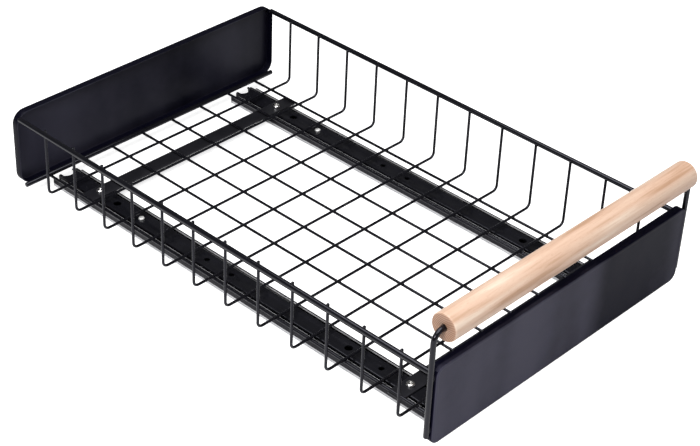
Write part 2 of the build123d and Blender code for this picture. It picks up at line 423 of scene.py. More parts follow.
class Graph:
    """A short hand for building one node tree."""

    def __init__(self, tree: bpy.types.NodeTree) -> None:
        """Takes the tree that the nodes go into."""
        self.tree = tree

    def node(self, kind: str, **settings: object) -> bpy.types.Node:
        """Adds a node and sets its properties.

        Args:
            kind: the node's type name.
            settings: its properties.
        Returns:
            The node.
        """
        node = self.tree.nodes.new(kind)
        for key, value in settings.items():
            setattr(node, key, value)
        return node

    def link(self, source: bpy.types.NodeSocket, target: bpy.types.NodeSocket) -> None:
        """Joins an output to an input."""
        self.tree.links.new(source, target)

    def put(self, value: object, target: bpy.types.NodeSocket) -> None:
        """Links an output to an input, or sets the input to a plain value.

        Args:
            value: the output or the value.
            target: the input.
        """
        if isinstance(value, bpy.types.NodeSocket):
            self.link(value, target)
        else:
            target.default_value = value

    def feed(self, node: bpy.types.Node, **values: object) -> bpy.types.Node:
        """Sets or links a node's inputs by name, with _ for a blank.

        Args:
            node: the node to feed.
            values: numbers, tuples or output sockets.
        Returns:
            The same node.
        """
        for key, value in values.items():
            self.put(value, node.inputs[key.replace("_", " ")])
        return node

    def math(self, operation: str, a: object, b: object = 0.0, clamp: bool = False) -> bpy.types.NodeSocket:
        """A Math node of two values.

        Args:
            operation: the node's operation.
            a: first number or socket.
            b: second number or socket.
            clamp: holds the result between 0 and 1.
        Returns:
            The result's socket.
        """
        node = self.node("ShaderNodeMath", operation=operation, use_clamp=clamp)
        for socket, value in zip(node.inputs, (a, b)):
            self.put(value, socket)
        return node.outputs[0]

    def swing(self, value: bpy.types.NodeSocket, size: float) -> bpy.types.NodeSocket:
        """Turns a value from 0 to 1 into a swing about zero.

        Args:
            value: the value.
            size: width of the whole swing.
        Returns:
            The swing's socket.
        """
        return self.math("MULTIPLY", self.math("SUBTRACT", value, 0.5), size)

    def span(
        self, value: bpy.types.NodeSocket, start: float, stop: float, first: float = 0.0, last: float = 1.0
    ) -> bpy.types.NodeSocket:
        """Runs smoothly from one number to another while a value goes from start to stop.

        Args:
            value: the value.
            start: where the run begins.
            stop: where it ends.
            first: the result up to the start.
            last: the result from the stop on.
        Returns:
            The result's socket.
        """
        node = self.node("ShaderNodeMapRange", interpolation_type="SMOOTHSTEP")
        self.feed(node, Value=value, From_Min=start, From_Max=stop, To_Min=first, To_Max=last)
        return node.outputs["Result"]

    def axes(self, vector: bpy.types.NodeSocket) -> bpy.types.NodeOutputs:
        """The X, Y and Z values of a vector.

        Args:
            vector: the vector.
        Returns:
            The three sockets, by name.
        """
        node = self.node("ShaderNodeSeparateXYZ")
        self.link(vector, node.inputs[0])
        return node.outputs

    def facing(self) -> bpy.types.NodeOutputs:
        """The X, Y and Z values of the surface's direction."""
        return self.axes(self.node("ShaderNodeNewGeometry").outputs["Normal"])

    def stretched(self, vector: bpy.types.NodeSocket, scale: Sequence[float]) -> bpy.types.NodeSocket:
        """Coordinates scaled along each axis.

        Args:
            vector: the coordinates.
            scale: the factor of each axis.
        Returns:
            The scaled coordinates.
        """
        return self.feed(self.node("ShaderNodeMapping"), Vector=vector, Scale=scale).outputs["Vector"]

    def blend(
        self, share: bpy.types.NodeSocket, first: bpy.types.NodeSocket, second: object, way: str = "MIX"
    ) -> bpy.types.NodeSocket:
        """Mixes two colours.

        Args:
            share: how much of the second one shows.
            first: the first colour.
            second: the second one, as numbers or a socket.
            way: Blender's name of the blend.
        Returns:
            The mixed colour.
        """
        node = self.node("ShaderNodeMix", data_type="RGBA", blend_type=way)
        self.link(share, node.inputs["Factor"])
        self.link(first, node.inputs[6])
        self.put(second if isinstance(second, bpy.types.NodeSocket) else (*second, 1.0), node.inputs[7])
        return node.outputs[2]

    def ramp(self, value: bpy.types.NodeSocket, stops: Sequence[tuple[float, tuple]]) -> bpy.types.NodeSocket:
        """A colour ramp over a value.

        Args:
            value: the socket that drives it.
            stops: positions and colours.
        Returns:
            The colour's socket.
        """
        node = self.node("ShaderNodeValToRGB")
        elements = node.color_ramp.elements
        while len(elements) > 1:
            elements.remove(elements[-1])
        elements[0].position = stops[0][0]
        elements[0].color = (*stops[0][1], 1.0)
        for position, colour in stops[1:]:
            element = elements.new(position)
            element.color = (*colour, 1.0)
        self.link(value, node.inputs["Fac"])
        return node.outputs["Color"]

    def noise(
        self, vector: bpy.types.NodeSocket, scale: object, detail: float = 3.0, rough: float = 0.5
    ) -> bpy.types.NodeSocket:
        """A noise value on a vector.

        Args:
            vector: the coordinates.
            scale: waves per metre, about, as a number or a socket.
            detail: number of octaves.
            rough: strength of the finer octaves.
        Returns:
            The value's socket.
        """
        node = self.node("ShaderNodeTexNoise")
        self.feed(node, Vector=vector, Scale=scale, Detail=detail, Roughness=rough)
        return node.outputs["Fac"]


class Effect:
    """A shared effect: a shader node group that is built once."""

    name: str = "effect"
    values: dict[str, float] = {}
    outputs: tuple[tuple[str, str], ...] = ()

    def group(self) -> bpy.types.NodeTree:
        """Gives the group, and builds it the first time.

        Returns:
            The node group.
        """
        found = bpy.data.node_groups.get(self.name)
        if found:
            return found
        tree = bpy.data.node_groups.new(self.name, "ShaderNodeTree")
        tree.interface.new_socket("Place", in_out="INPUT", socket_type="NodeSocketVector")
        for key, value in self.values.items():
            socket = tree.interface.new_socket(key, in_out="INPUT", socket_type="NodeSocketFloat")
            socket.default_value = value
        for key, kind in self.outputs:
            tree.interface.new_socket(key, in_out="OUTPUT", socket_type=kind)
        graph = Graph(tree)
        self.fill(graph, graph.node("NodeGroupInput").outputs, graph.node("NodeGroupOutput").inputs)
        return tree

    def fill(self, graph: Graph, given: bpy.types.NodeOutputs, out: bpy.types.NodeInputs) -> None:
        """Builds the nodes of the group.

        Args:
            graph: the group's graph.
            given: the group's inputs, by name.
            out: the group's outputs, by name.
        """
        raise NotImplementedError

    def place(self, graph: Graph, vector: bpy.types.NodeSocket, **values: float) -> bpy.types.Node:
        """Puts the effect into a material.

        Args:
            graph: the material's graph.
            vector: the coordinates.
            values: the inputs of this use.
        Returns:
            The group node.
        """
        node = graph.node("ShaderNodeGroup", node_tree=self.group())
        graph.feed(node, Place=vector, **values)
        return node


class CoatSkin(Effect):
    """The skin of a baked coat: fine orange peel, broad patches and settled dust."""

    name = "coat_skin"
    values = {"Peel": 1400.0, "Wave": 60.0, "Dust": 0.05}
    outputs = (("Height", "NodeSocketFloat"), ("Patch", "NodeSocketFloat"), ("Dust", "NodeSocketFloat"))

    def fill(self, graph: Graph, given: bpy.types.NodeOutputs, out: bpy.types.NodeInputs) -> None:
        """Builds the nodes of the group.

        Args:
            graph: the group's graph.
            given: the group's inputs, by name.
            out: the group's outputs, by name.
        """
        place = given["Place"]
        graph.link(graph.noise(place, given["Peel"], 2.0, 0.45), out["Height"])
        graph.link(graph.noise(place, given["Wave"], 3.0, 0.55), out["Patch"])
        spots = graph.math("GREATER_THAN", graph.noise(place, 5200.0, 1.0), 0.69)
        upward = graph.math("MAXIMUM", graph.facing()["Z"], 0.0)
        share = graph.math("MULTIPLY", graph.math("MULTIPLY", spots, upward), given["Dust"])
        graph.link(share, out["Dust"])


class RolledLines(Effect):
    """Fine lines left by rolling, drawing or polishing, run along one axis by the caller's scaling."""

    name = "rolled_lines"
    values = {"Fineness": 900.0, "Waver": 40.0}
    outputs = (("Lines", "NodeSocketFloat"), ("Cloud", "NodeSocketFloat"))

    def fill(self, graph: Graph, given: bpy.types.NodeOutputs, out: bpy.types.NodeInputs) -> None:
        """Builds the nodes of the group.

        Args:
            graph: the group's graph.
            given: the group's inputs, by name.
            out: the group's outputs, by name.
        """
        graph.link(graph.noise(given["Place"], given["Fineness"], 4.0, 0.6), out["Lines"])
        graph.link(graph.noise(given["Place"], given["Waver"], 2.0, 0.5), out["Cloud"])


@dataclass(frozen=True)
class Finish:
    """A finish that can dress pieces."""

    name: str

    def material(self) -> bpy.types.Material:
        """Gives the finish's material, and builds it the first time.

        Returns:
            The material.
        """
        found = bpy.data.materials.get(self.name)
        if found:
            return found
        material = bpy.data.materials.new(self.name)
        material.use_nodes = True
        material.node_tree.nodes.clear()
        graph = Graph(material.node_tree)
        shader = graph.node("ShaderNodeBsdfPrincipled")
        output = graph.node("ShaderNodeOutputMaterial")
        graph.link(shader.outputs["BSDF"], output.inputs["Surface"])
        place = graph.node("ShaderNodeTexCoord").outputs["Object"]
        self.shade(graph, shader, place)
        return material

    def shade(self, graph: Graph, shader: bpy.types.Node, place: bpy.types.NodeSocket) -> None:
        """Builds the finish on the shader.

        Args:
            graph: the material's graph.
            shader: the shader that the finish is set on.
            place: the coordinates.
        """
        raise NotImplementedError

    def dress(self, obj: bpy.types.Object) -> None:
        """Puts the finish on an object as its only material."""
        obj.data.materials.clear()
        obj.data.materials.append(self.material())

    @staticmethod
    def bump(
        graph: Graph, shader: bpy.types.Node, height: bpy.types.NodeSocket, depth: float, strength: float
    ) -> None:
        """Adds relief to the shader's normal.

        Args:
            graph: the material's graph.
            shader: the shader.
            height: the relief's value.
            depth: its real depth.
            strength: how much of it shows.
        """
        node = graph.node("ShaderNodeBump")
        graph.feed(node, Height=height, Distance=depth, Strength=strength)
        graph.link(node.outputs["Normal"], shader.inputs["Normal"])


@dataclass(frozen=True)
class BakedCoat(Finish):
    """A black baked coat on steel, from satin to gloss, plain or with broad upright bands of painted light and
    shade.

    With bands, `dim` is the tint's share in the darkest painted shade, `fade` gives the X where the painted shade
    at the right end starts and stops and how deep it goes, and `rim` the Y between which the painted shade on a
    folded top edge sets in behind a painted lighter rim.
    """

    tint: tuple[float, float, float] = (0.012, 0.012, 0.014)
    dim: tuple[float, float, float] = (0.7, 0.7, 0.7)
    lift: float = 1.3
    roughness: float = 0.25
    spread: float = 0.06
    peel: float = 1400.0
    relief: float = 0.12
    relief_depth: float = 0.12 * MM
    dust: float = 0.02
    dust_tint: tuple[float, float, float] = (0.5, 0.48, 0.45)
    gloss: float = 0.4
    sheen: tuple[float, float, float] = (0.86, 0.86, 1.0)
    # With bands, the colour carries painted light and shade: the bands are painted reflections, and the fields
    # after them set painted shade at the right end and on the folded edges.
    bands: float = 0.0
    band_size: tuple[float, float, float] = (1.0, 1.0, 0.12)
    calm: float = 0.15
    fade: tuple[float, float, float] = (0.0, 0.06, 0.32)
    fold: float = 0.45
    rim: tuple[float, float] = (-2.0, -1.9)
    rim_share: float = 0.45
    shades: tuple[float, float, float] = (0.15, 0.5, 0.8)
    band_noise: tuple[float, float, float] = (16.0, 2.0, 0.45)
    turned: tuple[float, float] = (0.45, 0.78)
    level: float = 0.6
    ior: float = 1.5

    def shade(self, graph: Graph, shader: bpy.types.Node, place: bpy.types.NodeSocket) -> None:
        """Builds the finish on the shader.

        Args:
            graph: the material's graph.
            shader: the shader that the finish is set on.
            place: the coordinates.
        """
        skin = CoatSkin().place(graph, place, Peel=self.peel, Dust=self.dust)
        patch = skin.outputs["Patch"]
        darker = tuple(share * c for share, c in zip(self.dim, self.tint))
        lighter = tuple(self.lift * c for c in self.tint)
        depth = self.paint_bands_and_shade(graph, place, patch) if self.bands else patch
        base = graph.ramp(depth, list(zip(self.shades, (darker, self.tint, lighter))))
        graph.link(graph.blend(skin.outputs["Dust"], base, self.dust_tint), shader.inputs["Base Color"])
        rough = graph.math("ADD", graph.swing(patch, 2 * self.spread), self.roughness, clamp=True)
        graph.link(rough, shader.inputs["Roughness"])
        shader.inputs["IOR"].default_value = self.ior
        shader.inputs["Specular IOR Level"].default_value = self.gloss
        shader.inputs["Specular Tint"].default_value = (*self.sheen, 1.0)
        self.bump(graph, shader, skin.outputs["Height"], self.relief_depth, self.relief)

    def paint_bands_and_shade(
        self, graph: Graph, place: bpy.types.NodeSocket, patch: bpy.types.NodeSocket
    ) -> bpy.types.NodeSocket:
        """Paints broad upright light bands into the coat, with painted shade towards the right end and on the
        folded edges.

        Args:
            graph: the material's graph.
            place: the coordinates.
            patch: the coat's own patches.
        Returns:
            The value with its bands.
        """
        # Broad upright light bands, painted as reflections into the colour.
        wide = graph.noise(graph.stretched(place, self.band_size), *self.band_noise)
        quiet = graph.math("ADD", graph.swing(patch, self.calm), 0.5)
        spot, facing = graph.axes(place), graph.facing()
        # Painted shade darkens the right end and the folded edges; on top, the front of a folded edge is eased to
        # a painted lighter rim.
        painted_shade_right = graph.span(spot["X"], self.fade[0], self.fade[1], 0.0, self.fade[2])
        folded = graph.span(graph.math("ABSOLUTE", facing["Y"]), *self.turned, self.fold, 0.0)
        at_rim = graph.span(spot["Y"], *self.rim, self.rim_share)
        on_top = graph.math("GREATER_THAN", facing["Z"], self.level)
        painted_rim_light = graph.math("MULTIPLY", on_top, graph.math("SUBTRACT", 1.0, at_rim))
        dark = graph.math("MULTIPLY", folded, graph.math("SUBTRACT", 1.0, painted_rim_light))
        face = graph.math("SUBTRACT", graph.math("ADD", quiet, graph.swing(wide, self.bands)), painted_shade_right)
        return graph.math("SUBTRACT", face, dark, clamp=True)


@dataclass(frozen=True)
class GlintPaintedCoat(BakedCoat):
    """The coat of a rolled channel, with a painted reflection low on its walls and painted highlight lines along
    its rolled lips, in a bright metal colour.
    """

    centre: float = 0.0
    # The strip is the height of a painted reflection low on the outer walls, and the lines are the offsets of
    # painted highlight lines along the lips, with their width and share below.
    strip: float = 3.2 * MM
    wall: float = 12.4 * MM
    lines: tuple[float, ...] = (13.1 * MM, 11.1 * MM)
    glint_line_w: float = 0.22 * MM
    line_share: float = 0.55
    lip_z: float = 9.0 * MM
    # The colour, metal and roughness of the painted glints, and the noise that breaks them up.
    glint_tint: tuple[float, float, float] = (0.74, 0.74, 0.76)
    glint_metal: float = 0.35
    glint_rough: float = 0.22
    glint_stretch: tuple[float, float, float] = (1.0, 0.03, 1.0)
    glint_noise: tuple[float, float] = (420.0, 3.0)
    glint_least: float = 0.45

    def shade(self, graph: Graph, shader: bpy.types.Node, place: bpy.types.NodeSocket) -> None:
        """Builds the finish on the shader.

        Args:
            graph: the material's graph.
            shader: the shader that the finish is set on.
            place: the coordinates.
        """
        super().shade(graph, shader, place)
        coated = shader.inputs["Base Color"].links[0].from_socket
        dull = shader.inputs["Roughness"].links[0].from_socket
        # The mask paints a reflection and highlight lines into the colour, and lends them metal and roughness.
        mask = self.painted_glint_mask(graph, place)
        graph.link(graph.blend(mask, coated, self.glint_tint), shader.inputs["Base Color"])
        graph.link(graph.math("MULTIPLY", mask, self.glint_metal), shader.inputs["Metallic"])
        painted_glints = graph.math("MULTIPLY", mask, self.glint_rough)
        graph.link(graph.math("ADD", dull, painted_glints, clamp=True), shader.inputs["Roughness"])

    def painted_glint_mask(self, graph: Graph, place: bpy.types.NodeSocket) -> bpy.types.NodeSocket:
        """Where the painted reflection and the painted highlight lines go.

        Args:
            graph: the material's graph.
            place: the coordinates.
        Returns:
            A mask from 0 to 1.
        """
        spot = graph.axes(place)
        out = graph.math("ABSOLUTE", graph.math("SUBTRACT", spot["X"], self.centre))
        low = graph.math("LESS_THAN", spot["Z"], self.strip)
        mask = graph.math("MULTIPLY", low, graph.math("GREATER_THAN", out, self.wall))
        high = graph.math("GREATER_THAN", spot["Z"], self.lip_z)
        for line in self.lines:
            off = graph.math("ABSOLUTE", graph.math("SUBTRACT", out, line))
            on = graph.math("MULTIPLY", graph.math("LESS_THAN", off, self.glint_line_w), high)
            mask = graph.math("MAXIMUM", mask, graph.math("MULTIPLY", on, self.line_share))
        # Noise breaks the painted glints up.
        glint_breakup = graph.noise(graph.stretched(place, self.glint_stretch), *self.glint_noise)
        return graph.math("MULTIPLY", mask, graph.math("ADD", glint_breakup, self.glint_least), clamp=True)


@dataclass(frozen=True)
class BrightSteel(Finish):
    """Bare or plated steel with fine working lines."""

    tint: tuple[float, float, float] = (0.7, 0.7, 0.71)
    dim: float = 0.82
    roughness: float = 0.2
    spread: float = 0.1
    stretch: tuple[float, float, float] = (1.0, 0.04, 1.0)
    fineness: float = 2600.0
    waver: float = 120.0
    shades: tuple[float, float] = (0.3, 0.65)
    relief: float = 0.1
    relief_depth: float = 0.04 * MM

    def shade(self, graph: Graph, shader: bpy.types.Node, place: bpy.types.NodeSocket) -> None:
        """Builds the finish on the shader.

        Args:
            graph: the material's graph.
            shader: the shader that the finish is set on.
            place: the coordinates.
        """
        along = graph.stretched(place, self.stretch)
        worked = RolledLines().place(graph, along, Fineness=self.fineness, Waver=self.waver)
        lines = worked.outputs["Lines"]
        darker = tuple(self.dim * c for c in self.tint)
        base = graph.ramp(worked.outputs["Cloud"], list(zip(self.shades, (darker, self.tint))))
        graph.link(base, shader.inputs["Base Color"])
        shader.inputs["Metallic"].default_value = 1.0
        rough = graph.math("ADD", graph.swing(lines, 2 * self.spread), self.roughness, clamp=True)
        graph.link(rough, shader.inputs["Roughness"])
        self.bump(graph, shader, lines, self.relief_depth, self.relief)


@dataclass(frozen=True)
class TurnedBeech(Finish):
    """Pale beech turned to a dowel that lies along X, with end grain on both ends."""

    axis: tuple[float, float] = (0.0, 0.0)
    pith: tuple[float, float] = (0.021, 0.013)
    streak: tuple[float, float, float] = (0.055, 1.0, 1.0)
    fineness: float = 620.0
    waver: float = 150.0
    line_share: float = 1.1
    line_tint: tuple[float, float, float] = (0.72, 0.56, 0.44)
    side_tones: tuple[tuple[float, tuple[float, float, float]], ...] = (
        (0.35, (0.56, 0.34, 0.22)),
        (0.44, (0.72, 0.49, 0.36)),
        (0.55, (0.76, 0.55, 0.42)),
        (0.66, (0.87, 0.70, 0.57)),
    )
    fleck_stretch: tuple[float, float, float] = (0.16, 1.0, 1.0)
    fleck_noise: tuple[float, float, float] = (1500.0, 2.0, 0.5)
    fleck_from: float = 0.63
    fleck_share: float = 0.22
    rings: float = 5200.0
    ring_share: float = 0.22
    pore_noise: tuple[float, float, float] = (2600.0, 2.0, 0.6)
    end_tones: tuple[tuple[float, tuple[float, float, float]], ...] = (
        (0.3, (0.27, 0.13, 0.075)),
        (0.55, (0.43, 0.25, 0.165)),
        (0.85, (0.56, 0.37, 0.26)),
    )
    end_turn: tuple[float, float] = (0.55, 0.9)
    smoothest: float = 0.36
    roughen: float = 0.2
    wax: tuple[float, float] = (0.15, 0.25)
    relief: float = 0.25
    relief_depth: float = 0.12 * MM

    def shade(self, graph: Graph, shader: bpy.types.Node, place: bpy.types.NodeSocket) -> None:
        """Builds the finish on the shader.

        Args:
            graph: the material's graph.
            shader: the shader that the finish is set on.
            place: the coordinates.
        """
        centred = graph.node("ShaderNodeVectorMath", operation="SUBTRACT")
        graph.link(place, centred.inputs[0])
        centred.inputs[1].default_value = (0.0, *self.axis)
        about = centred.outputs[0]
        streaks = graph.stretched(about, self.streak)
        grain = RolledLines().place(graph, streaks, Fineness=self.fineness, Waver=self.waver)
        lines = grain.outputs["Lines"]
        fleck = graph.noise(graph.stretched(about, self.fleck_stretch), *self.fleck_noise)
        spots = graph.math("GREATER_THAN", fleck, self.fleck_from)
        flecks = graph.math("MULTIPLY", spots, self.fleck_share)
        side = self.side_grain(graph, grain.outputs["Cloud"], lines, flecks)
        endwise = graph.math("SMOOTH_MIN", graph.math("ABSOLUTE", graph.facing()["X"]), 1.0)
        at_end = graph.ramp(endwise, list(zip(self.end_turn, ((0.0, 0.0, 0.0), (1.0, 1.0, 1.0)))))
        graph.link(graph.blend(at_end, side, self.end_grain(graph, about)), shader.inputs["Base Color"])
        rough = graph.math("ADD", graph.math("MULTIPLY", lines, self.roughen), self.smoothest)
        graph.link(rough, shader.inputs["Roughness"])
        shader.inputs["Coat Weight"].default_value = self.wax[0]
        shader.inputs["Coat Roughness"].default_value = self.wax[1]
        self.bump(graph, shader, graph.math("SUBTRACT", lines, flecks), self.relief_depth, self.relief)

    def side_grain(
        self,
        graph: Graph,
        cloud: bpy.types.NodeSocket,
        lines: bpy.types.NodeSocket,
        flecks: bpy.types.NodeSocket,
    ) -> bpy.types.NodeSocket:
        """The colour along the dowel: broad streaks, fine lines and short dark flecks.

        Args:
            graph: the material's graph.
            cloud: the broad streaks.
            lines: the fine lines.
            flecks: the flecks.
        Returns:
            The colour.
        """
        fine = graph.math("ABSOLUTE", graph.swing(lines, self.line_share))
        share = graph.math("ADD", flecks, fine, clamp=True)
        return graph.blend(share, graph.ramp(cloud, self.side_tones), self.line_tint, "MULTIPLY")

    def end_grain(self, graph: Graph, about: bpy.types.NodeSocket) -> bpy.types.NodeSocket:
        """The colour of the sawn ends: year rings about a pith that lies outside the dowel.

        Args:
            graph: the material's graph.
            about: the coordinates about the dowel's axis.
        Returns:
            The colour.
        """
        moved = graph.node("ShaderNodeVectorMath", operation="ADD")
        graph.link(about, moved.inputs[0])
        moved.inputs[1].default_value = (0.0, *self.pith)
        flat = graph.stretched(moved.outputs[0], (0.0, 1.0, 1.0))
        radius = graph.node("ShaderNodeVectorMath", operation="LENGTH")
        graph.link(flat, radius.inputs[0])
        wave = graph.math("SINE", graph.math("MULTIPLY", radius.outputs["Value"], self.rings))
        pores = graph.noise(flat, *self.pore_noise)
        ring = graph.math("ADD", graph.math("MULTIPLY", wave, self.ring_share), pores)
        return graph.ramp(ring, self.end_tones)


@dataclass(frozen=True)
class PaleGround(Finish):
    """The plain pale floor under the basket, brighter to the camera than the light on it makes it."""

    tint: tuple[float, float, float] = (0.8, 0.8, 0.8)
    dim: float = 0.99
    glow: float = 0.75
    mottle: tuple[float, float] = (1.5, 2.0)
    shades: tuple[float, float] = (0.3, 0.7)
    roughness: float = 0.9
    gloss: float = 0.1

    def shade(self, graph: Graph, shader: bpy.types.Node, place: bpy.types.NodeSocket) -> None:
        """Builds the finish on the shader.

        Args:
            graph: the material's graph.
            shader: the shader that the finish is set on.
            place: the coordinates.
        """
        darker = tuple(self.dim * c for c in self.tint)
        tones = list(zip(self.shades, (darker, self.tint)))
        colour = graph.ramp(graph.noise(place, *self.mottle), tones)
        graph.link(colour, shader.inputs["Base Color"])
        shader.inputs["Roughness"].default_value = self.roughness
        shader.inputs["Specular IOR Level"].default_value = self.gloss
        seen = graph.node("ShaderNodeLightPath").outputs["Is Camera Ray"]
        shader.inputs["Emission Color"].default_value = (1.0, 1.0, 1.0, 1.0)
        graph.link(graph.math("MULTIPLY", seen, self.glow), shader.inputs["Emission Strength"])


# Working lines with no direction, and the darkest share of a banded panel's tint, the colour of its deepest
# painted shade.
EVEN = (1.0, 1.0, 1.0)
PAINTED_SHADE_DIM = (0.05, 0.05, 0.13)


@dataclass(frozen=True)
class Palette:
    """The finishes that the sub-assemblies share."""

    wire: BakedCoat = BakedCoat("wire_black", tint=(0.005, 0.005, 0.007), roughness=0.14, spread=0.04, relief=0.06)
    # Both panels carry painted light bands and painted shade at the right end and on their folded edges.
    front: BakedCoat = BakedCoat(
        "panel_slate",
        tint=(0.064, 0.062, 0.092),
        dim=PAINTED_SHADE_DIM,
        roughness=0.4,
        peel=900.0,
        relief=0.1,
        gloss=0.06,
        bands=0.8,
        fade=(-0.04, 0.05, 0.34),
        rim=(-0.2382, -0.2362),
        dust=0.008,
    )
    panel: BakedCoat = BakedCoat(
        "panel_black",
        tint=(0.030, 0.029, 0.044),
        dim=PAINTED_SHADE_DIM,
        roughness=0.38,
        peel=900.0,
        relief=0.1,
        gloss=0.14,
        bands=0.8,
        fade=(-0.09, -0.03, 0.2),
    )
    bar: BakedCoat = BakedCoat("bar_black", tint=(0.010, 0.010, 0.012), roughness=0.3)
    slide: BakedCoat = BakedCoat(
        "slide_black", tint=(0.006, 0.006, 0.008), roughness=0.22, relief=0.05, gloss=0.3
    )
    cage: BrightSteel = BrightSteel("cage_zinc", tint=(0.55, 0.55, 0.56), roughness=0.35)
    ball: BrightSteel = BrightSteel("ball_steel_bright", tint=(0.78, 0.78, 0.79), roughness=0.12, spread=0.04)
    screw: BrightSteel = BrightSteel("screw_nickel", tint=(0.86, 0.85, 0.83), roughness=0.16, stretch=EVEN)
    rivet: BrightSteel = BrightSteel("rivet_plated", tint=(0.97, 0.97, 0.96), roughness=0.65, stretch=EVEN)
    ground: PaleGround = PaleGround("pale_ground")


# ---------------------------------------------------------------- sub-assemblies


@dataclass
class SubAssembly:
    """Shared steps of every sub-assembly."""

    palette: Palette

    def settle(
        self, obj: bpy.types.Object, body: Body, slot: Slot, finish: Finish, nodes: Sequence[str] = ()
    ) -> bpy.types.Object:
        """Dresses a piece, ties it to its body and hides the nodes that it stands for.

        Args:
            obj: the finished piece.
            body: the body that it rides on.
            slot: the record's slot of its finish; not used.
            finish: its finish.
            nodes: the construction nodes that it stands for.
        Returns:
            The same piece.
        """
        finish.dress(obj)
        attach(obj, body.value)
        if nodes:
            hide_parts(*nodes)
        LOG.info("%s: %d faces, rides on %s", obj.name, len(obj.data.polygons), body.value)
        return obj


